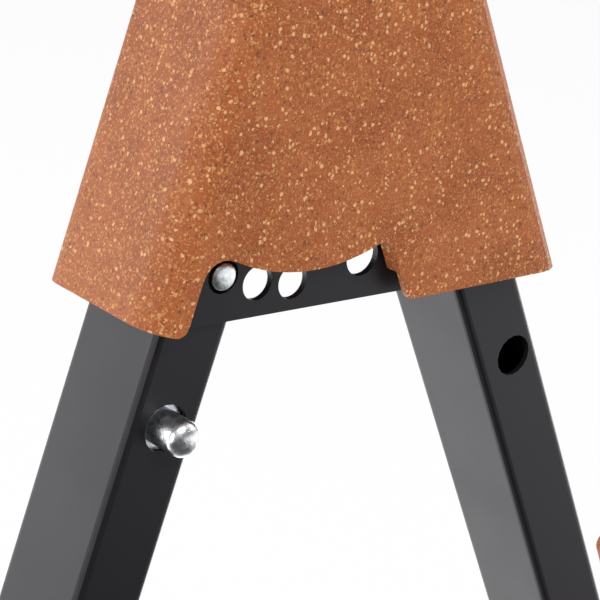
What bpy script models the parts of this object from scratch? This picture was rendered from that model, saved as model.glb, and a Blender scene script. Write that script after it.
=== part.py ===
"""Folding A-frame guitar stand: a composite head over two rectangular steel legs.

Metres, +Z up. +X is the guitar's side, +Y the stand's left as the guitar faces.
The side view is drawn from the apex, where the legs' centre lines meet.
"""
import math

import bpy
import bmesh
from mathutils import Matrix, Vector

# Overall: floor to apex of the legs' centre lines, and each leg's lean from upright.
APEX_HEIGHT = 0.460
LEAN = math.radians(21.0)

# Rectangular leg tube.
TUBE_DEEP = 0.020
TUBE_WIDE = 0.030
TUBE_WALL = 0.0015
TUBE_CORNER = 0.002
TUBE_TOP = 0.040

# Leg pivot, from the rear leg: distance down it, and inward from its centre line.
PIVOT_ALONG = 0.0533
PIVOT_INWARD = 0.00836
PIVOT_PIN_RADIUS = 0.004

# Lock: holes on a circle about the pivot, at angles from the rear leg's direction.
LOCK_CIRCLE = 0.06024
LOCK_FIRST = math.radians(-6.3)
LOCK_STEP = math.radians(10.5)
LOCK_TURNS = (0, 1, 2, 4)
LOCK_HOLE = 0.0044
FOLDED_HOLE = 0.0050

# Head shell, an open-bottomed moulding centred on the tubes.
HEAD_HALF = 0.0228
HEAD_WALL = 0.005
HEAD_OUT = 0.0199
HEAD_TOP = -0.020
HEAD_RIDGE = 0.0075
WINDOW_RADIUS = 0.0556
WINDOW_LEFT = -0.0085
WINDOW_RIGHT = 0.0303
FLAP_END = 0.1285
LIP = 0.0015
LIP_HEIGHT = 0.0075

# Side plates: the near one carries the lock holes, the far one is shorter.
PLATE_INNER = 0.0153
PLATE_OUTER = 0.0171
PLATE_EDGE = -0.0095
PLATE_TOP = -0.032
FAR_PLATE_BOTTOM = -0.100

# Punched holes in the legs, as distance down the leg and inward from its centre line.
BUTTON_AT = (0.1132, 0.0017)
RELEASE_AT = (0.1525, 0.0007)
SPARE_AT = (0.1646, -0.00175)
RIVETS_ALONG = (0.062, 0.092)
SCREWS_AT = ((0.044, 0.004), (0.076, 0.019))

# Feet: a round cross bar at each leg's end, in moulded rubber caps cut flat below.
BAR_RADIUS = 0.011
BAR_WALL = 0.0015
BAR_HEIGHT = 0.0135
CAP_RADIUS = 0.0145
CAP_GRIP = 0.018
CAP_END = 0.004
FRONT_BAR_HALF = 0.168
REAR_BAR_HALF = 0.112

# Support arms: a bent strip on an upright hinge in front of the front bar.
ARM_SPREAD = 0.138
ARM_HINGE = 0.024
ARM_RISE = 0.004
ARM_REACH = 0.138
ARM_STRIP = 0.006
ARM_WIDE = 0.014
ARM_UP = 0.050
KNUCKLE = 0.0095
PAD_THICK = 0.0055
PAD_WIDE = 0.023
PAD_START = 0.042

GAP = 0.0003
ROUND = 16
REACH = 0.060

REAR = -1
FRONT = 1


def clear_scene():
    for item in list(bpy.data.objects):
        bpy.data.objects.remove(item, do_unlink=True)


def new_collection(name):
    made = bpy.data.collections.new(name)
    bpy.context.scene.collection.children.link(made)
    return made


def new_material(name, colour, roughness, metallic=0.0):
    made = bpy.data.materials.new(name)
    made.use_nodes = True
    surface = made.node_tree.nodes["Principled BSDF"]
    surface.inputs["Base Color"].default_value = (*colour, 1.0)
    surface.inputs["Roughness"].default_value = roughness
    surface.inputs["Metallic"].default_value = metallic
    made.diffuse_color = (*colour, 1.0)
    return made


clear_scene()
STAND = new_collection("guitar_stand")
CUTTERS = new_collection("guitar_stand_cutters")

CORK = new_material("cork_composite", (0.34, 0.135, 0.060), 0.70)
BLACK = new_material("black_powder_coat", (0.016, 0.015, 0.017), 0.42)
ZINC = new_material("zinc_plate", (0.62, 0.63, 0.65), 0.30, 1.0)
SPRING = new_material("spring_steel", (0.45, 0.45, 0.46), 0.28, 1.0)
NYLON = new_material("black_nylon", (0.020, 0.020, 0.022), 0.55)
RUBBER = new_material("black_rubber", (0.018, 0.018, 0.018), 0.80)


def on_leg(side, along, inward, y=0.0):
    """A point given down a leg and inward from its centre line, in the apex frame."""
    down = Vector((side * math.sin(LEAN), 0, -math.cos(LEAN)))
    inner = Vector((-side * math.cos(LEAN), 0, -math.sin(LEAN)))
    return down * along + inner * inward + Vector((0, y, 0))


def leg_frame(side, along, inward=0.0, y=0.0):
    """Local X runs inward, local Z down the leg."""
    down = Vector((side * math.sin(LEAN), 0, -math.cos(LEAN)))
    inner = Vector((-side * math.cos(LEAN), 0, -math.sin(LEAN)))
    across = down.cross(inner)
    turn = Matrix((inner, across, down)).transposed().to_4x4()
    return Matrix.Translation(on_leg(side, along, inward, y)) @ turn


def side_frame(y=0.0):
    """Outlines drawn in X and Z; their thickness runs along Y."""
    return Matrix.Translation((0, y, 0)) @ Matrix.Rotation(math.pi / 2, 4, "X")


def flat(point):
    return (point.x, point.z)


PIVOT = on_leg(REAR, PIVOT_ALONG, PIVOT_INWARD)
BAR_ALONG = (APEX_HEIGHT - BAR_HEIGHT) / math.cos(LEAN)
FRONT_BAR = on_leg(FRONT, BAR_ALONG, 0)
REAR_BAR = on_leg(REAR, BAR_ALONG, 0)
SPRING_PIVOT = on_leg(REAR, 0.199, 0.0007, -0.0127)


def empty(name, location, parent=None):
    made = bpy.data.objects.new(name, None)
    made.empty_display_size = 0.01
    made.location = location
    STAND.objects.link(made)
    if parent:
        made.parent = parent
        made.matrix_parent_inverse = Matrix.Translation(origin_of(parent)).inverted()
    return made


def origin_of(holder):
    """Where an unturned empty stands in the apex frame."""
    place = holder.location.copy()
    return place


BASE = empty("stand_base", (0, 0, 0))
REAR_HINGE = empty("rear_leg_hinge", PIVOT, BASE)
SPRING_HINGE = empty("lock_spring_hinge", SPRING_PIVOT, REAR_HINGE)
arm_forward = Vector((math.cos(LEAN), 0, math.sin(LEAN)))
arm_upward = Vector((-math.sin(LEAN), 0, math.cos(LEAN)))
ARM_HINGES = {}
for hand, sign in (("left", 1), ("right", -1)):
    root = FRONT_BAR + arm_forward * ARM_HINGE + Vector((0, sign * ARM_SPREAD, 0))
    ARM_HINGES[hand] = empty(hand + "_arm_hinge", root, BASE)


def settle(item, matrix, holder, material=None):
    """Place an object in the apex frame under its holder; no material makes it a cutter."""
    item.matrix_basis = matrix
    item.parent = holder
    item.matrix_parent_inverse = Matrix.Translation(origin_of(holder)).inverted()
    if material:
        STAND.objects.link(item)
        item.data.materials.append(material)
    else:
        CUTTERS.objects.link(item)
        item.hide_render = True
        item.display_type = "WIRE"
    return item


def smooth(item, angle=35.0):
    item.data.shade_smooth()
    item.data.set_sharp_from_angle(angle=math.radians(angle))
    return item


def rounded(corners, step=math.radians(18)):
    """Turn (x, y) or (x, y, radius) corners into points, with an arc at each radius."""
    points = []
    count = len(corners)
    for index, corner in enumerate(corners):
        here = Vector(corner[:2])
        radius = corner[2] if len(corner) > 2 else 0.0
        if not radius:
            points.append(here)
            continue
        back = (Vector(corners[index - 1][:2]) - here).normalized()
        ahead = (Vector(corners[(index + 1) % count][:2]) - here).normalized()
        half = back.angle(ahead) / 2
        centre = here + (back + ahead).normalized() * radius / math.sin(half)
        start = here + back * radius / math.tan(half) - centre
        end = here + ahead * radius / math.tan(half) - centre
        turn = math.atan2(start.x * end.y - start.y * end.x, start.dot(end))
        steps = max(2, math.ceil(abs(turn) / step))
        for number in range(steps + 1):
            angle = turn * number / steps
            spun = Matrix.Rotation(angle, 2) @ start
            points.append(centre + spun)
    return points


def circle(radius, count=ROUND, centre=(0, 0)):
    return [(centre[0] + radius * math.cos(2 * math.pi * k / count),
             centre[1] + radius * math.sin(2 * math.pi * k / count)) for k in range(count)]


def slab(name, outlines, thick, matrix, holder, material=None):
    """Extrude a filled 2D curve; a second outline inside the first makes a hollow."""
    curve = bpy.data.curves.new(name, "CURVE")
    curve.dimensions = "2D"
    curve.fill_mode = "BOTH"
    curve.extrude = thick / 2
    for outline in outlines:
        spline = curve.splines.new("POLY")
        spline.points.add(len(outline) - 1)
        for point, place in zip(spline.points, outline):
            point.co = (place[0], place[1], 0, 1)
        spline.use_cyclic_u = True
    drawn = bpy.data.objects.new(name + "_outline", curve)
    bpy.context.scene.collection.objects.link(drawn)
    graph = bpy.context.evaluated_depsgraph_get()
    graph.update()
    mesh = bpy.data.meshes.new_from_object(drawn.evaluated_get(graph))
    mesh.name = name
    bpy.data.objects.remove(drawn, do_unlink=True)
    work = bmesh.new()
    work.from_mesh(mesh)
    bmesh.ops.remove_doubles(work, verts=work.verts, dist=0.00001)
    bmesh.ops.dissolve_limit(work, angle_limit=math.radians(0.5), verts=work.verts, edges=work.edges)
    bmesh.ops.recalc_face_normals(work, faces=work.faces)
    work.to_mesh(mesh)
    work.free()
    mesh.materials.clear()
    return smooth(settle(bpy.data.objects.new(name, mesh), matrix, holder, material))


def rod(name, radius, start, end, holder, material=None, count=ROUND):
    """A round bar between two points, from a capped cone with equal ends."""
    start = Vector(start)
    end = Vector(end)
    mesh = bpy.data.meshes.new(name)
    work = bmesh.new()
    bmesh.ops.create_cone(work, cap_ends=True, segments=count, radius1=radius, radius2=radius,
                          depth=(end - start).length)
    work.to_mesh(mesh)
    work.free()
    turn = (end - start).to_track_quat("Z", "Y").to_matrix().to_4x4()
    matrix = Matrix.Translation((start + end) / 2) @ turn
    return smooth(settle(bpy.data.objects.new(name, mesh), matrix, holder, material))


def cross_rod(name, radius, place, low, high, holder, material=None, count=ROUND):
    start = Vector((place.x, low, place.z))
    end = Vector((place.x, high, place.z))
    return rod(name, radius, start, end, holder, material, count)


def turned(name, profile, matrix, holder, material, count=ROUND):
    """Spin a profile of (radius, height) about local Z, listed from the top down."""
    mesh = bpy.data.meshes.new(name)
    work = bmesh.new()
    ring = [work.verts.new((radius, 0, height)) for radius, height in profile]
    for upper, lower in zip(ring, ring[1:]):
        work.edges.new((upper, lower))
    if profile[0][0] > 0:
        work.edges.new((ring[-1], ring[0]))
    work.to_mesh(mesh)
    work.free()
    item = settle(bpy.data.objects.new(name, mesh), matrix, holder, material)
    spin = item.modifiers.new("spin", "SCREW")
    spin.axis = "Z"
    spin.steps = count
    spin.render_steps = count
    spin.use_merge_vertices = True
    spin.merge_threshold = 0.00005
    spin.use_smooth_shade = True
    return item


def block(name, size, matrix, holder, material=None):
    mesh = bpy.data.meshes.new(name)
    work = bmesh.new()
    bmesh.ops.create_cube(work, size=1.0)
    bmesh.ops.scale(work, vec=Vector(size), verts=work.verts)
    work.to_mesh(mesh)
    work.free()
    return settle(bpy.data.objects.new(name, mesh), matrix, holder, material)


def cut(item, tool, how="DIFFERENCE"):
    step = item.modifiers.new(how.lower(), "BOOLEAN")
    step.operation = how
    step.solver = "EXACT"
    step.object = tool


def soften(item, width, segments=2, limit=50.0):
    edge = item.modifiers.new("edges", "BEVEL")
    edge.width = width
    edge.segments = segments
    edge.limit_method = "ANGLE"
    edge.angle_limit = math.radians(limit)


def leg_line(side, inward, height):
    """The x at which a line parallel to a leg crosses a height."""
    along = (-height - inward * math.sin(LEAN)) / math.cos(LEAN)
    return on_leg(side, along, inward).x


def lock_point(turns, radius=LOCK_CIRCLE):
    """A point on a circle about the pivot, turned from the rear leg's direction."""
    angle = LOCK_FIRST + turns * LOCK_STEP - LEAN
    return PIVOT + Vector((math.sin(angle), 0, -math.cos(angle))) * radius


def flap_floor(x):
    """Height of the front flap's lower edge, which drops a little outward."""
    return -0.1232 - 0.074 * (x - 0.0142)


def plate_floor(x):
    """Height of the near plate's lower edge."""
    return -0.1216 - 0.0908 * x


def head_outline(inset, low, corner):
    top = HEAD_TOP - inset
    out = -(HEAD_OUT - inset)
    left_top = leg_line(REAR, out, top)
    left_low = leg_line(REAR, out, low)
    return rounded([(left_low, low), (-left_low, low), (-left_top, top, corner), (left_top, top, corner)])


def head_cut_outline():
    """Everything below the flaps, with the scalloped window over the lock plate."""
    start = math.asin((WINDOW_LEFT - PIVOT_INWARD) / WINDOW_RADIUS)
    front_inward = PIVOT_FRONT_INWARD
    end = 2 * LEAN - math.asin((WINDOW_RIGHT - front_inward) / WINDOW_RADIUS)
    lead = math.radians(5.5)
    samples = 12

    def arc(angle, *radius):
        turn = angle - LEAN
        point = PIVOT + Vector((math.sin(turn), 0, -math.cos(turn))) * WINDOW_RADIUS
        return (point.x, point.z, *radius)

    right = leg_line(FRONT, WINDOW_RIGHT, -0.1225)
    corners = [flat(on_leg(REAR, FLAP_END, -0.045)), (*flat(on_leg(REAR, FLAP_END, WINDOW_LEFT)), 0.003)]
    corners.append(arc(start, 0.006))
    for number in range(samples + 1):
        corners.append(arc(start + lead + (end - start - 2 * lead) * number / samples))
    corners.append(arc(end, 0.004))
    corners.append((right, flap_floor(right), 0.003))
    corners.append((0.12, flap_floor(0.12)))
    corners.append((0.12, -0.22))
    corners.append((-0.12, -0.22))
    return rounded(corners)


def head_lip_outline():
    """The thinned band inside the front flap, above its lower edge."""
    left = leg_line(FRONT, WINDOW_RIGHT, -0.1225) - 0.004
    right_low = leg_line(FRONT, -(HEAD_OUT - 2 * LIP), -0.150)
    right_top = leg_line(FRONT, -(HEAD_OUT - 2 * LIP), -0.118)
    return [(left, -0.150), (right_low, -0.150), (right_top, flap_floor(right_top) + LIP_HEIGHT),
            (left, flap_floor(left) + LIP_HEIGHT)]


inward_of_front = Vector((-math.cos(LEAN), 0, -math.sin(LEAN)))
PIVOT_FRONT_INWARD = PIVOT.dot(inward_of_front)
PLATE_HEAD = PLATE_OUTER + GAP
HEAD_THICK = 0.0014


def make_head():
    side = side_frame()
    shell = slab("head_shell", [head_outline(0.0, -0.150, 0.011)], 2 * HEAD_HALF, side, BASE, CORK)
    soften(shell, HEAD_RIDGE, 4, 60)
    hollow = slab("head_hollow", [head_outline(HEAD_WALL, -0.170, 0.006)],
                  2 * (HEAD_HALF - HEAD_WALL), side, BASE)
    window = slab("head_window", [head_cut_outline()], 0.080, side, BASE)
    lip = slab("head_lip", [head_lip_outline()], 2 * (HEAD_HALF - LIP), side, BASE)
    for tool in (hollow, lip, window):
        cut(shell, tool)
    pockets = [("pivot_pocket", PIVOT, 0.0080)]
    for number, along in enumerate(RIVETS_ALONG):
        pockets.append(("rivet_pocket_%d" % number, on_leg(FRONT, along, 0), 0.0060))
    reach = PLATE_HEAD + HEAD_THICK + 2 * GAP
    for name, place, radius in pockets:
        cut(shell, cross_rod(name, radius, place, -reach, reach, BASE))
    far = HEAD_HALF - 0.0034
    for number, (along, inward) in enumerate(SCREWS_AT):
        place = on_leg(FRONT, along, inward)
        cut(shell, cross_rod("screw_bore_%d" % number, 0.0021, place, 0.0165, 0.030, BASE))
        cut(shell, cross_rod("screw_seat_%d" % number, 0.0040, place, far, 0.030, BASE))


def plate_outline(bottom):
    left_low = leg_line(REAR, PLATE_EDGE, -0.1165)
    right_low = leg_line(FRONT, PLATE_EDGE, -0.1268)
    if bottom is not None:
        left_low = leg_line(REAR, PLATE_EDGE, bottom)
        right_low = -left_low
    left_top = leg_line(REAR, PLATE_EDGE, PLATE_TOP)
    heights = (plate_floor(left_low), plate_floor(right_low)) if bottom is None else (bottom, bottom)
    return rounded([(left_low, heights[0], 0.003), (right_low, heights[1], 0.003),
                    (-left_top, PLATE_TOP, 0.005), (left_top, PLATE_TOP, 0.005)])


def make_plates():
    middle = (PLATE_INNER + PLATE_OUTER) / 2
    thick = PLATE_OUTER - PLATE_INNER
    near = slab("near_side_plate", [plate_outline(None)], thick, side_frame(-middle), BASE, BLACK)
    for turns in LOCK_TURNS:
        radius = FOLDED_HOLE if turns == LOCK_TURNS[-1] else LOCK_HOLE
        tool = cross_rod("lock_hole_%d" % turns, radius, lock_point(turns), -0.025, -0.010, BASE, None, 32)
        cut(near, tool)
    far = slab("far_side_plate", [plate_outline(FAR_PLATE_BOTTOM)], thick, side_frame(middle), BASE, BLACK)
    holes = [("pivot_hole", PIVOT, PIVOT_PIN_RADIUS)]
    for number, along in enumerate(RIVETS_ALONG):
        holes.append(("rivet_hole_%d" % number, on_leg(FRONT, along, 0), 0.003))
    for name, place, radius in holes:
        tool = cross_rod(name, radius + GAP, place, -0.025, 0.025, BASE)
        cut(near, tool)
        cut(far, tool)
    for number, (along, inward) in enumerate(SCREWS_AT):
        tool = cross_rod("screw_hole_%d" % number, 0.0021, on_leg(FRONT, along, inward), 0.012, 0.025, BASE)
        cut(far, tool)


def double_head(name, place, shank, head, holder):
    """A pin or rivet through both plates, with a flat head beyond each."""
    reach = PLATE_HEAD + HEAD_THICK
    edge = 0.0004
    profile = [(0, reach), (head - edge, reach), (head, reach - edge), (head, PLATE_HEAD),
               (shank, PLATE_HEAD), (shank, -PLATE_HEAD), (head, -PLATE_HEAD),
               (head, edge - reach), (head - edge, -reach), (0, -reach)]
    return turned(name, profile, Matrix.Translation(place) @ Matrix.Rotation(math.pi / 2, 4, "X"),
                  holder, ZINC)


def make_head_fasteners():
    double_head("leg_pivot_pin", PIVOT, PIVOT_PIN_RADIUS, 0.007, BASE)
    for name, along in zip(("front_rivet_upper", "front_rivet_lower"), RIVETS_ALONG):
        double_head(name, on_leg(FRONT, along, 0), 0.003, 0.005, BASE)
    washer = [(0.009, 0.00055), (0.009, -0.00055), (0.0044, -0.00055), (0.0044, 0.00055)]
    turn = Matrix.Rotation(math.pi / 2, 4, "X")
    for name, y in (("pivot_washer_near", -0.01445), ("pivot_washer_far", 0.01445)):
        turned(name, washer, Matrix.Translation(PIVOT + Vector((0, y, 0))) @ turn, BASE, NYLON)
    top = HEAD_HALF - 0.0012
    screw = [(0, top), (0.0030, top), (0.0036, top - 0.0008), (0.0036, top - 0.0019),
             (0.0018, top - 0.0019), (0.0018, 0.0162), (0.0010, 0.0155), (0, 0.0155)]
    for name, (along, inward) in zip(("head_screw_upper", "head_screw_lower"), SCREWS_AT):
        matrix = Matrix.Translation(on_leg(FRONT, along, inward)) @ Matrix.Rotation(-math.pi / 2, 4, "X")
        turned(name, screw, matrix, BASE, ZINC, 16)


def tube_outlines(deep, wide, wall, corner):
    def ring(inset, radius):
        x = deep / 2 - inset
        y = wide / 2 - inset
        return rounded([(x, y, radius), (-x, y, radius), (-x, -y, radius), (x, -y, radius)],
                       math.radians(30))
    return [ring(0, corner), ring(wall, corner - wall + 0.0003)]


def make_leg_tube(name, side, top, holes, holder, bar):
    """A rectangular tube, punched through its near wall and coped over the foot bar."""
    length = BAR_ALONG - top
    middle = leg_frame(side, top + length / 2)
    tube = slab(name, tube_outlines(TUBE_DEEP, TUBE_WIDE, TUBE_WALL, TUBE_CORNER), length,
                middle, holder, BLACK)
    cope = cross_rod(name + "_cope", BAR_RADIUS + GAP, bar, -REACH, REACH, holder, None, 32)
    cut(tube, cope)
    for number, (along, inward, radius, deepest) in enumerate(holes):
        tool = cross_rod("%s_hole_%d" % (name, number), radius, on_leg(side, along, inward),
                         -REACH, deepest, holder)
        cut(tube, tool)
    return tube


def make_foot(prefix, bar, half, holder):
    ring = [circle(BAR_RADIUS, 32), circle(BAR_RADIUS - BAR_WALL, 32)]
    slab(prefix + "_foot_bar", ring, 2 * half, Matrix.Translation(bar) @ Matrix.Rotation(math.pi / 2, 4, "X"),
         holder, BLACK)
    floor = block(prefix + "_floor", (0.08, 0.50, 0.02),
                  Matrix.Translation((bar.x, 0, -APEX_HEIGHT - 0.010)), holder)
    inside = BAR_RADIUS + GAP
    soft = 0.003
    profile = [(0, CAP_END), (CAP_RADIUS - soft, CAP_END), (CAP_RADIUS - soft * 0.3, CAP_END - soft * 0.3),
               (CAP_RADIUS, CAP_END - soft), (CAP_RADIUS, -CAP_GRIP + 0.001),
               (CAP_RADIUS - 0.001, -CAP_GRIP), (inside, -CAP_GRIP), (inside, 0), (0, 0)]
    for hand, sign in (("left", 1), ("right", -1)):
        place = bar + Vector((0, sign * (half + GAP), 0))
        matrix = Matrix.Translation(place) @ Matrix.Rotation(-sign * math.pi / 2, 4, "X")
        cap = turned("%s_foot_%s" % (prefix, hand), profile, matrix, holder, RUBBER, 24)
        cut(cap, floor)


def make_front_leg():
    holes = [(*SPARE_AT, 0.0057, 0), (0.1253, -0.0007, 0.0042, 0)]
    holes += [(along, 0, 0.003 + GAP, REACH) for along in RIVETS_ALONG]
    make_leg_tube("front_leg_tube", FRONT, TUBE_TOP, holes, BASE, FRONT_BAR)
    make_foot("front", FRONT_BAR, FRONT_BAR_HALF, BASE)
    inside = TUBE_DEEP / 2 - TUBE_WALL - GAP
    outside = TUBE_DEEP / 2
    lid = 0.0030
    plug = [(-outside, -lid), (outside, -lid), (outside, -GAP), (inside, -GAP), (inside, 0.013),
            (-inside, 0.013), (-inside, -GAP), (-outside, -GAP)]
    matrix = leg_frame(FRONT, TUBE_TOP) @ Matrix.Rotation(math.pi / 2, 4, "X")
    slab("front_leg_plug", [plug], 0.0262, matrix, BASE, NYLON)


def make_rear_leg():
    top = 0.072
    clear = 0.0025 + GAP
    holes = [(*BUTTON_AT, 0.0042, 0), (*RELEASE_AT, 0.0062, 0), (0.084, -0.002, clear, REACH)]
    tube = make_leg_tube("rear_leg_tube", REAR, top, holes, REAR_HINGE, REAR_BAR)
    anchor = on_leg(REAR, 0.206, 0)
    cut(tube, cross_rod("anchor_hole", 0.0020 + GAP, anchor, 0, REACH, REAR_HINGE))
    make_foot("rear", REAR_BAR, REAR_BAR_HALF, REAR_HINGE)

    eye = 0.010
    half = 0.0136
    level = leg_frame(REAR, 0) @ Matrix.Rotation(math.pi / 2, 4, "X")
    edge = TUBE_DEEP / 2
    low = top - GAP
    cheek = [(-edge, low), (-edge, 0.057, 0.006), (0.0035, 0.0455), (0.0160, 0.0590), (edge, 0.0680), (edge, low)]
    body = slab("rear_leg_eye", [rounded(cheek)], 2 * half, level, REAR_HINGE, NYLON)
    barrel = cross_rod("eye_barrel", eye, PIVOT, -half, half, REAR_HINGE, None, 32)
    cut(body, barrel, "UNION")
    inside = TUBE_DEEP / 2 - TUBE_WALL - GAP
    wide = TUBE_WIDE - 2 * TUBE_WALL - 2 * GAP
    shank = slab("eye_shank", tube_outlines(2 * inside, wide, 0.001, 0.0012)[:1], 0.0300,
                 leg_frame(REAR, 0.0820), REAR_HINGE)
    cut(body, shank, "UNION")
    cut(body, cross_rod("eye_bore", PIVOT_PIN_RADIUS + GAP, PIVOT, -REACH, REACH, REAR_HINGE))
    place = on_leg(REAR, 0.084, -0.002)
    cut(body, cross_rod("eye_rivet_hole", clear, place, -REACH, REACH, REAR_HINGE))
    cross_rod("rear_leg_eye_rivet", 0.0025, place, -0.0149, 0.0149, REAR_HINGE, ZINC)

    holder = leg_frame(REAR, 0.206, 0, 0.0008)
    anchor_block = block("lock_spring_block", (0.0164, 0.0248, 0.020), holder, REAR_HINGE, NYLON)
    cut(anchor_block, cross_rod("block_hole", 0.0020 + GAP, anchor, 0, REACH, REAR_HINGE))
    cross_rod("lock_spring_rivet", 0.0020, anchor, 0.0005, 0.0149, REAR_HINGE, ZINC, 16)


def make_lock_spring():
    """A spring blade inside the rear leg, carrying the lock button and release pin."""
    face = 0.0131
    back = 0.0123
    length = 0.096
    blade = block("lock_spring_blade", (0.013, face - back, length),
                  leg_frame(REAR, 0.104 + length / 2, 0.0007, -(face + back) / 2), SPRING_HINGE, SPRING)
    neck = 0.0020
    shoulder = face + GAP
    tail = back - GAP
    toward = Matrix.Rotation(math.pi / 2, 4, "X")
    studs = (("lock_button", BUTTON_AT, 0.00305, 0.0192, 0.00205),
             ("release_pin", RELEASE_AT, 0.00435, 0.0215, 0.0032))
    for name, (along, inward), radius, wall_end, rise in studs:
        place = on_leg(REAR, along, inward)
        profile = [(0, wall_end + rise)]
        for number in range(1, 6):
            angle = math.pi / 2 * number / 5
            profile.append((radius * math.sin(angle), wall_end + rise * math.cos(angle)))
        profile += [(radius, shoulder), (neck, shoulder), (neck, tail), (neck + 0.0012, tail),
                    (neck + 0.0010, tail - 0.0009), (0, tail - 0.0011)]
        turned(name, profile, Matrix.Translation(place) @ toward, SPRING_HINGE, ZINC, 24)
        tool = cross_rod(name + "_blade_hole", neck + GAP, place, -0.020, -0.005, SPRING_HINGE)
        cut(blade, tool)


def arm_frame(hand):
    """Local X forward from the bar, local Y up the leg, local Z across the stand."""
    across = arm_forward.cross(arm_upward)
    sign = 1 if hand == "left" else -1
    turn = Matrix((arm_forward, arm_upward, across)).transposed().to_4x4()
    return Matrix.Translation(FRONT_BAR + Vector((0, sign * ARM_SPREAD, 0))) @ turn


def upright(name, radius, low, high, hand, holder, material=None):
    """A round bar along the arm's hinge axis, given by heights above the foot bar."""
    frame = arm_frame(hand)
    return rod(name, radius, frame @ Vector((ARM_HINGE, low, 0)), frame @ Vector((ARM_HINGE, high, 0)),
               holder, material)


def make_arm(hand):
    frame = arm_frame(hand)
    hinge = ARM_HINGES[hand]
    low = ARM_RISE - 0.016
    high = ARM_RISE + 0.016
    mouth = 0.011
    lug = 0.0100
    back = 0.0138
    clevis = [(0.004, low), (ARM_HINGE + lug, low), (ARM_HINGE + lug, ARM_RISE - mouth),
              (back, ARM_RISE - mouth), (back, ARM_RISE + mouth), (ARM_HINGE + lug, ARM_RISE + mouth),
              (ARM_HINGE + lug, high), (0.004, high)]
    bracket = slab(hand + "_arm_bracket", [clevis], 2 * lug, frame, BASE, BLACK)
    ends = rounded([(-0.020, lug), (-0.020, -lug), (ARM_HINGE + lug, -lug, lug * 0.999),
                    (ARM_HINGE + lug, lug, lug * 0.999)])
    plan = slab(hand + "_bracket_plan", [ends], 0.080, frame @ Matrix.Rotation(-math.pi / 2, 4, "X"), BASE)
    cut(bracket, plan, "INTERSECT")
    middle = frame.translation
    bar_cut = rod(hand + "_bracket_seat", BAR_RADIUS + GAP, middle - Vector((0, REACH, 0)),
                  middle + Vector((0, REACH, 0)), BASE, None, 32)
    cut(bracket, bar_cut)
    pin = 0.003
    cut(bracket, upright(hand + "_pin_bore", pin + GAP, low - 0.01, high + 0.01, hand, BASE))
    axis = frame @ Matrix.Translation((ARM_HINGE, 0, 0)) @ Matrix.Rotation(-math.pi / 2, 4, "X")
    head = 0.005
    thick = 0.0013
    profile = [(0, high + GAP + thick), (head - 0.0004, high + GAP + thick), (head, high + GAP + thick - 0.0004),
               (head, high + GAP), (pin, high + GAP), (pin, low - GAP), (head, low - GAP),
               (head - 0.0004, low - GAP - thick), (0, low - GAP - thick)]
    turned(hand + "_arm_pin", profile, axis, BASE, ZINC)

    half = ARM_STRIP / 2
    end = ARM_REACH
    top = ARM_RISE + ARM_UP
    strip = [(ARM_HINGE, ARM_RISE - half), (end, ARM_RISE - half, 0.009), (end, top), (end - ARM_STRIP, top),
             (end - ARM_STRIP, ARM_RISE + half, 0.003), (ARM_HINGE, ARM_RISE + half)]
    arm = slab(hand + "_support_arm", [rounded(strip)], ARM_WIDE, frame, hinge, BLACK)
    half_knuckle = mouth - GAP
    knuckle = upright(hand + "_knuckle", KNUCKLE, ARM_RISE - half_knuckle, ARM_RISE + half_knuckle, hand, hinge)
    cut(arm, knuckle, "UNION")
    cut(arm, upright(hand + "_arm_bore", pin + GAP, low, high, hand, hinge))

    under = ARM_RISE - half - PAD_THICK
    over = ARM_RISE + half + PAD_THICK
    front = end + PAD_THICK
    tip = top + PAD_THICK
    inner = end - ARM_STRIP - PAD_THICK
    outline = [(PAD_START, under, 0.003), (front, under, 0.012), (front, tip, 0.0075), (inner, tip, 0.0075),
               (inner, over, 0.008), (PAD_START, over, 0.003)]
    pad = slab(hand + "_arm_pad", [rounded(outline)], PAD_WIDE, frame, hinge, CORK)
    soften(pad, 0.004, 3, 60)
    slot = [(PAD_START - 0.01, ARM_RISE - half - GAP), (end + GAP, ARM_RISE - half - GAP, 0.009),
            (end + GAP, top + GAP), (end - ARM_STRIP - GAP, top + GAP),
            (end - ARM_STRIP - GAP, ARM_RISE + half + GAP, 0.003), (PAD_START - 0.01, ARM_RISE + half + GAP)]
    cut(pad, slab(hand + "_pad_slot", [rounded(slot)], ARM_WIDE + 2 * GAP, frame, hinge))


def centre_on_footprint():
    """Put the origin on the floor, under the middle of the stand's length."""
    BASE.location.z = APEX_HEIGHT
    graph = bpy.context.evaluated_depsgraph_get()
    graph.update()
    reach = []
    for item in STAND.objects:
        if item.type == "MESH":
            posed = item.evaluated_get(graph)
            mesh = posed.to_mesh()
            xs = [(posed.matrix_world @ corner.co).x for corner in mesh.vertices]
            reach += [min(xs), max(xs)]
            posed.to_mesh_clear()
    BASE.location.x = -(min(reach) + max(reach)) / 2


make_head()
make_plates()
make_head_fasteners()
make_front_leg()
make_rear_leg()
make_lock_spring()
for hand in ARM_HINGES:
    make_arm(hand)
centre_on_footprint()
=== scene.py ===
import math

import bmesh
import bpy
from mathutils import Matrix, Vector


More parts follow.
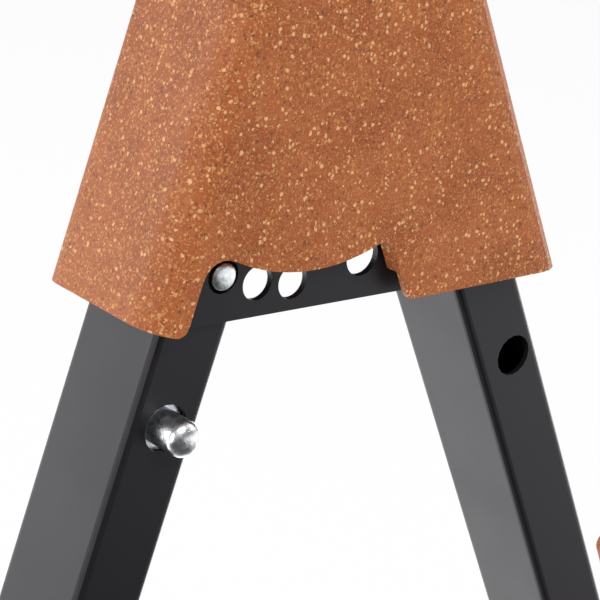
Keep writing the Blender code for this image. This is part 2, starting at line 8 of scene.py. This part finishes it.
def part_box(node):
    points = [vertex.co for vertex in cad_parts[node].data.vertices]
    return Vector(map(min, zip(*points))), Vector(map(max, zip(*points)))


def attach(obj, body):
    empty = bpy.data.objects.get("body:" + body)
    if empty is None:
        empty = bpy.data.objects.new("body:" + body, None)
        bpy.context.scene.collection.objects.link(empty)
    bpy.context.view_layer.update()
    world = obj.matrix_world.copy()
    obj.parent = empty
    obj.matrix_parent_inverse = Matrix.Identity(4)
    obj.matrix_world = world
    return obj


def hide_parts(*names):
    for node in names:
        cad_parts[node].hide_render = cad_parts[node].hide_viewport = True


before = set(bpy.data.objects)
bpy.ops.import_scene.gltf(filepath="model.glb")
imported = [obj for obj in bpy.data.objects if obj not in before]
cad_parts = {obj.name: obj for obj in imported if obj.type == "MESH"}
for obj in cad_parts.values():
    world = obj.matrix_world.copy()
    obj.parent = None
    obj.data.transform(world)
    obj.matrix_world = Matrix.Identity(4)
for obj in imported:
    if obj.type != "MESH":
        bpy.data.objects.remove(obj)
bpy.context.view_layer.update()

# Camera and studio. The photo looks at the head from the rear leg's near side, a little
# above it, through a long lens; the ground and the air behind it are plain white.

foot_bars = [corner.x for bar in ("rear_foot_bar", "front_foot_bar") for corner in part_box(bar)]
apex_x = sum(foot_bars) / len(foot_bars)
apex_to_head_top = 0.020
floor_to_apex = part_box("head_shell")[1].z + apex_to_head_top

look_turn = math.radians(39.10)
look_down = math.radians(22.47)
look_roll = math.radians(1.37)
ahead = Vector((math.sin(look_turn) * math.cos(look_down), math.cos(look_turn) * math.cos(look_down),
                -math.sin(look_down)))
level = Vector((math.cos(look_turn), -math.sin(look_turn), 0))
above = level.cross(ahead)
right = level * math.cos(look_roll) + above * math.sin(look_roll)
up = above * math.cos(look_roll) - level * math.sin(look_roll)

lens_data = bpy.data.cameras.new("photo_camera")
lens_data.sensor_width = 36.0
lens_data.lens = 137.1
lens_data.clip_start = 0.01
photo_camera = bpy.data.objects.new("photo_camera", lens_data)
bpy.context.scene.collection.objects.link(photo_camera)
camera_from_apex = Vector((-0.3396, -0.4159, 0.0946))
apex = Vector((apex_x, 0, floor_to_apex))
camera_turn = Matrix((right, up, -ahead)).transposed().to_4x4()
photo_camera.matrix_world = Matrix.Translation(apex + camera_from_apex) @ camera_turn
bpy.context.scene.camera = photo_camera


class Wire:
    """A shader socket that takes arithmetic; numbers on either side are fine."""

    def __init__(self, tree, socket):
        self.tree = tree
        self.socket = socket

    def node(self, kind, out=0, settings=None, **inputs):
        """A new node; an input is given by its name, or by i and its number."""
        made = self.tree.nodes.new(kind)
        for key, value in (settings or {}).items():
            setattr(made, key, value)
        for key, value in inputs.items():
            name = key.replace("_", " ")
            socket = made.inputs[int(key[1:])] if key[0] == "i" and key[1:].isdigit() else made.inputs[name]
            if isinstance(value, Wire):
                self.tree.links.new(value.socket, socket)
            else:
                socket.default_value = value
        return Wire(self.tree, made.outputs[out])

    def maths(self, operation, first, second):
        return self.node("ShaderNodeMath", 0, {"operation": operation}, i0=first, i1=second)

    def __add__(self, other):
        return self.maths("ADD", self, other)

    __radd__ = __add__

    def __mul__(self, other):
        return self.maths("MULTIPLY", self, other)

    def __sub__(self, other):
        return self.maths("SUBTRACT", self, other)

    def step(self, low, high):
        """0 below low, 1 above high, smooth between; low may be the larger."""
        return self.node("ShaderNodeMapRange", 0, {"interpolation_type": "SMOOTHSTEP"}, Value=self,
                         From_Min=low, From_Max=high, To_Min=0.0, To_Max=1.0)

    def over(self, base, top):
        """Mix two colours, with this value as the share of the top one."""
        made = self.tree.nodes.new("ShaderNodeMix")
        made.data_type = "RGBA"
        self.tree.links.new(self.socket, made.inputs[0])
        for socket, value in ((made.inputs[6], base), (made.inputs[7], top)):
            if isinstance(value, Wire):
                self.tree.links.new(value.socket, socket)
            else:
                socket.default_value = (*value, 1.0)
        return Wire(self.tree, made.outputs[2])

    def shift(self, other, amount):
        """Move coordinates by a colour centred on grey."""
        offset = self.node("ShaderNodeVectorMath", 0, {"operation": "SUBTRACT"}, i0=other, i1=(0.5, 0.5, 0.5))
        scaled = self.node("ShaderNodeVectorMath", 0, {"operation": "SCALE"}, i0=offset, Scale=amount)
        return self.node("ShaderNodeVectorMath", 0, {"operation": "ADD"}, i0=self, i1=scaled)

    def noise(self, size, detail=2.0, out="Fac"):
        """Noise with lumps about size metres across."""
        return self.node("ShaderNodeTexNoise", out, None, Vector=self, Scale=1.0 / size, Detail=detail)

    def cells(self, size, out="Distance"):
        """Voronoi cells about size metres across."""
        return self.node("ShaderNodeTexVoronoi", out, None, Vector=self, Scale=1.0 / size)

    def red(self):
        return self.node("ShaderNodeSeparateColor", 0, None, Color=self)

    def green(self):
        return self.node("ShaderNodeSeparateColor", 1, None, Color=self)

    def bump(self, height):
        """A normal from a height in metres."""
        return self.node("ShaderNodeBump", 0, None, Height=height, Distance=1.0, Strength=1.0)


def finish_of(name, **fixed):
    """A Principled material; returns it, its surface node and its object coordinates."""
    made = bpy.data.materials.new(name)
    made.use_nodes = True
    surface = made.node_tree.nodes["Principled BSDF"]
    for key, value in fixed.items():
        surface.inputs[key.replace("_", " ")].default_value = value
    place = made.node_tree.nodes.new("ShaderNodeTexCoord")
    return made, surface, Wire(made.node_tree, place.outputs["Object"])


def feed(surface, **wires):
    """Link each wire to the surface's input of that name."""
    for key, wire in wires.items():
        wire.tree.links.new(wire.socket, surface.inputs[key.replace("_", " ")])


def dress(finish, *nodes):
    """Give CAD nodes a finish, smooth but for their real edges."""
    for node in nodes:
        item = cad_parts[node]
        item.data.materials.clear()
        item.data.materials.append(finish)
        item.data.shade_smooth()
        item.data.set_sharp_from_angle(angle=math.radians(32))
        item.modifiers.new("even_shading", "WEIGHTED_NORMAL").keep_sharp = True


def settle(name, sheet, finish, body, node):
    """Make a finer piece from a bmesh; it rides a body and stands for its CAD node."""
    bmesh.ops.recalc_face_normals(sheet, faces=sheet.faces)
    mesh = bpy.data.meshes.new(name)
    sheet.to_mesh(mesh)
    sheet.free()
    mesh.materials.append(finish)
    mesh.shade_smooth()
    mesh.set_sharp_from_angle(angle=math.radians(50))
    piece = bpy.data.objects.new(name, mesh)
    bpy.context.scene.collection.objects.link(piece)
    piece.modifiers.new("even_shading", "WEIGHTED_NORMAL").keep_sharp = True
    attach(piece, body)
    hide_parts(node)


# Head shell. Moulded cinnamon-brown composite full of pale cork chips, finer crumbs and a few
# dark specks, with a dull satin skin.

cork, cork_surface, spot = finish_of("cork_composite", Specular_IOR_Level=0.32)
bent = spot.shift(spot.noise(0.0009, 2.0, "Color"), 0.0011)
chip_kind = bent.cells(0.00120, "Color")
chip = (bent.cells(0.00120) - chip_kind.red() * 0.48).step(0.05, -0.10)
crumb_kind = bent.cells(0.00064, "Color")
crumb = (bent.cells(0.00064) - crumb_kind.green() * 0.56).step(0.06, -0.12)
torn = bent.shift(spot.noise(0.003, 1.0, "Color"), 0.002)
dark = (torn.cells(0.0013) - torn.cells(0.0013, "Color").red() * 0.42).step(0.04, -0.08)
cloud = spot.noise(0.016, 3.0)
grain = spot.noise(0.0005, 3.0)
brown = cloud.step(0.32, 0.68).over((0.320, 0.072, 0.014), (0.410, 0.105, 0.026))
brown = (grain.step(0.42, 0.64) * 0.45).over(brown, (0.53, 0.205, 0.078))
brown = (dark * 0.65).over(brown, (0.150, 0.044, 0.026))
brown = (crumb * 0.58).over(brown, (0.70, 0.34, 0.130))
pale = chip_kind.green().step(0.2, 0.9).over((0.60, 0.27, 0.085), (0.90, 0.53, 0.24))
brown = (chip * 0.80).over(brown, pale)
feed(cork_surface, Base_Color=brown, Roughness=0.46 + grain * 0.16 + chip * 0.10,
     Normal=spot.bump(grain * 0.00007 + chip * 0.00003 + cloud * 0.0001))
dress(cork, "head_shell")

# Arm pads. A sleeve of the same composite round each arm: thick in front and underneath,
# thinner on the side away from the guitar and over the tip, with every edge rounded.

corner_steps = 8
edge_round = 0.0013
leg_lean = math.radians(21)
outwards = Vector((math.cos(leg_lean), 0, math.sin(leg_lean)))
upwards = Vector((-math.sin(leg_lean), 0, math.cos(leg_lean)))
strip_half = 0.003
thick = 0.0055
thin = 0.0014
reach = 0.114
rise = 0.050
pad_start = 0.018
pad_front = reach + thick
pad_inner = reach - 2 * strip_half - thin
pad_tip = rise + thin
pad_skin = strip_half + thick
pad_corners = [(pad_start, -pad_skin, 0.002), (pad_front, -pad_skin, 0.012), (pad_front, pad_tip, 0.0060),
               (pad_inner, pad_tip, 0.0045), (pad_inner, pad_skin, 0.008), (pad_start, pad_skin, 0.002)]
across_arm = Vector((0, 0.0078, 0))
for hand in ("left", "right"):
    low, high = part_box(hand + "_arm_pin")
    knuckle = (low + high) / 2
    sheet = bmesh.new()
    rim = []
    for number, (along, across, radius) in enumerate(pad_corners):
        corner = Vector((along, across))
        back = (Vector(pad_corners[number - 1][:2]) - corner).normalized()
        on = (Vector(pad_corners[(number + 1) % len(pad_corners)][:2]) - corner).normalized()
        half = back.angle(on) / 2
        centre = corner + (back + on).normalized() * (radius / math.sin(half))
        start = corner + back * (radius / math.tan(half)) - centre
        stop = corner + on * (radius / math.tan(half)) - centre
        for step in range(corner_steps + 1):
            spoke = start.lerp(stop, step / corner_steps).normalized() * radius + centre
            rim.append(knuckle + outwards * spoke.x + upwards * spoke.y)
    near = sheet.faces.new([sheet.verts.new(point - across_arm) for point in rim])
    far = sheet.faces.new([sheet.verts.new(point + across_arm) for point in rim])
    bmesh.ops.bridge_loops(sheet, edges=[*near.edges, *far.edges])
    bmesh.ops.recalc_face_normals(sheet, faces=sheet.faces)
    bmesh.ops.bevel(sheet, geom=[*near.edges, *far.edges], offset=edge_round, segments=3,
                    profile=0.5, affect="EDGES")
    settle(hand + "_pad_sleeve", sheet, cork, hand + "_arm", hand + "_arm_pad")

# Legs, side plates, foot bars, brackets and arms. Welded steel in satin black powder
# coat, with the faint orange peel that such a coat has.

coat, coat_surface, spot = finish_of("black_powder_coat", Specular_IOR_Level=0.33,
                                     Specular_Tint=(0.93, 0.90, 1.0, 1.0))
peel = spot.noise(0.0009, 2.0)
drift = spot.noise(0.030, 2.0)
dust = spot.noise(0.0004, 1.0).step(0.70, 0.80)
feed(coat_surface, Base_Color=(dust * 0.25).over((0.0085, 0.0075, 0.0085), (0.035, 0.034, 0.036)),
     Roughness=0.36 + drift * 0.10 + peel * 0.06, Normal=spot.bump(peel * 0.000012))
dress(coat, "near_side_plate", "far_side_plate", "front_leg_tube", "rear_leg_tube", "front_foot_bar",
      "rear_foot_bar", "left_arm_bracket", "right_arm_bracket", "left_support_arm", "right_support_arm")

# Pivot pin, arm pins, rivets and screws. Turned steel in bright zinc plate, a little
# mottled, with the small dents that handling leaves.

zinc, zinc_surface, spot = finish_of("zinc_plate", Metallic=1.0)
mottle = spot.noise(0.0011, 3.0)
nick = spot.cells(0.0016).step(0.16, 0.04)
feed(zinc_surface, Base_Color=mottle.step(0.3, 0.7).over((0.62, 0.65, 0.68), (0.86, 0.87, 0.88)),
     Roughness=0.20 + mottle * 0.22, Normal=spot.bump(mottle * 0.00008 - nick * 0.00004))
dress(zinc, "leg_pivot_pin", "front_rivet_upper", "front_rivet_lower", "head_screw_upper",
      "head_screw_lower", "rear_leg_eye_rivet", "lock_spring_rivet", "left_arm_pin", "right_arm_pin")

# Lock button and release pin. Each is a zinc-plated stud that is turned about a line along Y,
# from a small chamfer at the blade to a domed tip; the pin stands out further than the button.

around = 48
chamfer = 0.0004
dome_steps = 10
dome_turn = math.radians(84)
for node, radius, tip, dome in (("lock_button", 0.0035, 0.0183, 0.0009),
                                ("release_pin", 0.0047, 0.0247, 0.0030)):
    low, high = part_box(node)
    centre = (low + high) / 2
    profile = [(radius - chamfer, high.y), (radius, high.y - chamfer)]
    for step in range(dome_steps + 1):
        turn = dome_turn * step / dome_steps
        profile.append((radius * math.cos(turn), dome - tip - dome * math.sin(turn)))
    sheet = bmesh.new()
    rings = []
    for width, depth in profile:
        rings.append([sheet.verts.new((centre.x + width * math.cos(math.tau * step / around), depth,
                                       centre.z + width * math.sin(math.tau * step / around)))
                      for step in range(around)])
    for inner, outer in zip(rings, rings[1:]):
        for step in range(around):
            after = (step + 1) % around
            sheet.faces.new((inner[step], inner[after], outer[after], outer[step]))
    sheet.faces.new(rings[0])
    sheet.faces.new(rings[-1])
    settle(node + "_turned", sheet, zinc, "lock_spring", node)

# Lock spring. A blade of bright rolled spring steel inside the rear leg, seen as a sliver
# round the release pin.

blade, blade_surface, spot = finish_of("spring_steel", Metallic=1.0)
rolled = spot.noise(0.0010, 3.0)
feed(blade_surface, Base_Color=rolled.over((0.55, 0.60, 0.66), (0.80, 0.82, 0.85)),
     Roughness=0.16 + rolled * 0.14, Normal=spot.bump(rolled * 0.00003))
dress(blade, "lock_spring_blade")

# Pivot eye, washers, tube plug and spring block. Moulded black nylon.

nylon, nylon_surface, spot = finish_of("black_nylon", Specular_IOR_Level=0.4)
fleck = spot.noise(0.0007, 2.0)
feed(nylon_surface, Base_Color=fleck.over((0.016, 0.016, 0.018), (0.026, 0.026, 0.028)),
     Roughness=0.48 + fleck * 0.12, Normal=spot.bump(fleck * 0.00001))
dress(nylon, "rear_leg_eye", "pivot_washer_near", "pivot_washer_far", "front_leg_plug", "lock_spring_block")

# Foot caps. Matte black rubber pushed over the ends of the foot bars.

rubber, rubber_surface, spot = finish_of("black_rubber", Specular_IOR_Level=0.3)
bloom = spot.noise(0.006, 4.0)
pore = spot.noise(0.0005, 1.0)
feed(rubber_surface, Base_Color=bloom.step(0.35, 0.7).over((0.016, 0.016, 0.016), (0.032, 0.031, 0.030)),
     Roughness=0.70 + pore * 0.18, Normal=spot.bump(pore * 0.00003))
dress(rubber, "front_foot_left", "front_foot_right", "rear_foot_left", "rear_foot_right")

# Floor, world and lamps. The floor is plain and white to the camera. To glossy rays alone it is
# brighter behind the stand and towards +X, which stands in for white cards laid there, because
# the photo's black coat reflects such pale ground.

floor_half = 6.0
below_caps = -0.0004
floor_mesh = bpy.data.meshes.new("studio_floor")
sheet = bmesh.new()
bmesh.ops.create_grid(sheet, x_segments=1, y_segments=1, size=floor_half)
sheet.to_mesh(floor_mesh)
sheet.free()
studio_floor = bpy.data.objects.new("studio_floor", floor_mesh)
studio_floor.location.z = below_caps
bpy.context.scene.collection.objects.link(studio_floor)
ground = bpy.data.materials.new("pale_ground")
ground.use_nodes = True
tree = ground.node_tree
tree.nodes.clear()
rays = tree.nodes.new("ShaderNodeLightPath")
seen = Wire(tree, rays.outputs["Is Camera Ray"])
seen = seen.maths("MAXIMUM", seen, Wire(tree, rays.outputs["Is Transmission Ray"]))
glossy = Wire(tree, rays.outputs["Is Glossy Ray"])
place = Wire(tree, tree.nodes.new("ShaderNodeTexCoord").outputs["Object"])
behind = place.node("ShaderNodeSeparateXYZ", 1, None, Vector=place).step(-0.15, 0.20)
aside = place.node("ShaderNodeSeparateXYZ", 0, None, Vector=place).step(0.05, 0.55)
matte = tree.nodes.new("ShaderNodeBsdfDiffuse")
matte.inputs["Color"].default_value = (0.82, 0.82, 0.82, 1.0)
white = tree.nodes.new("ShaderNodeEmission")
blend = tree.nodes.new("ShaderNodeMixShader")
tree.links.new((seen * 0.90 + glossy * 0.90).socket, blend.inputs[0])
tree.links.new((seen * 1.03 + glossy * (0.02 + aside * 1.6 + behind * 2.6)).socket, white.inputs["Strength"])
tree.links.new(matte.outputs[0], blend.inputs[1])
tree.links.new(white.outputs[0], blend.inputs[2])
result = tree.nodes.new("ShaderNodeOutputMaterial")
tree.links.new(blend.outputs[0], result.inputs["Surface"])
floor_mesh.materials.append(ground)

world = bpy.data.worlds.new("studio_air")
bpy.context.scene.world = world
world.use_nodes = True
tree = world.node_tree
tree.nodes.clear()
rays = tree.nodes.new("ShaderNodeLightPath")
seen = Wire(tree, rays.outputs["Is Camera Ray"])
seen = seen.maths("MAXIMUM", seen, Wire(tree, rays.outputs["Is Transmission Ray"]))
air = tree.nodes.new("ShaderNodeBackground")
tree.links.new((seen * 0.95 + 0.30).socket, air.inputs["Strength"])
result = tree.nodes.new("ShaderNodeOutputWorld")
tree.links.new(air.outputs[0], result.inputs["Surface"])

middle = apex - Vector((0, 0, 0.09))


def lamp(name, offset, size, power):
    """A softbox at an offset from the middle of the photo's view, facing it."""
    data = bpy.data.lights.new(name, "AREA")
    data.shape = "RECTANGLE"
    data.size, data.size_y = size
    data.energy = power
    made = bpy.data.objects.new(name, data)
    made.location = middle + Vector(offset)
    made.rotation_mode = "QUATERNION"
    made.rotation_quaternion = (-Vector(offset)).to_track_quat("-Z", "Y")
    bpy.context.scene.collection.objects.link(made)


lamp("key_softbox", (-0.10, -1.10, 1.05), (0.8, 0.6), 11.3)
lamp("left_softbox", (-1.05, 1.10, 0.22), (1.1, 0.9), 10.5)
lamp("left_fill", (-1.30, -0.45, 0.25), (0.5, 0.9), 6.5)
lamp("right_softbox", (1.20, -0.50, 0.60), (0.6, 0.9), 4.0)
lamp("back_softbox", (0.50, 1.20, 0.95), (1.0, 0.6), 6.0)

bpy.context.scene.view_settings.view_transform = "Standard"
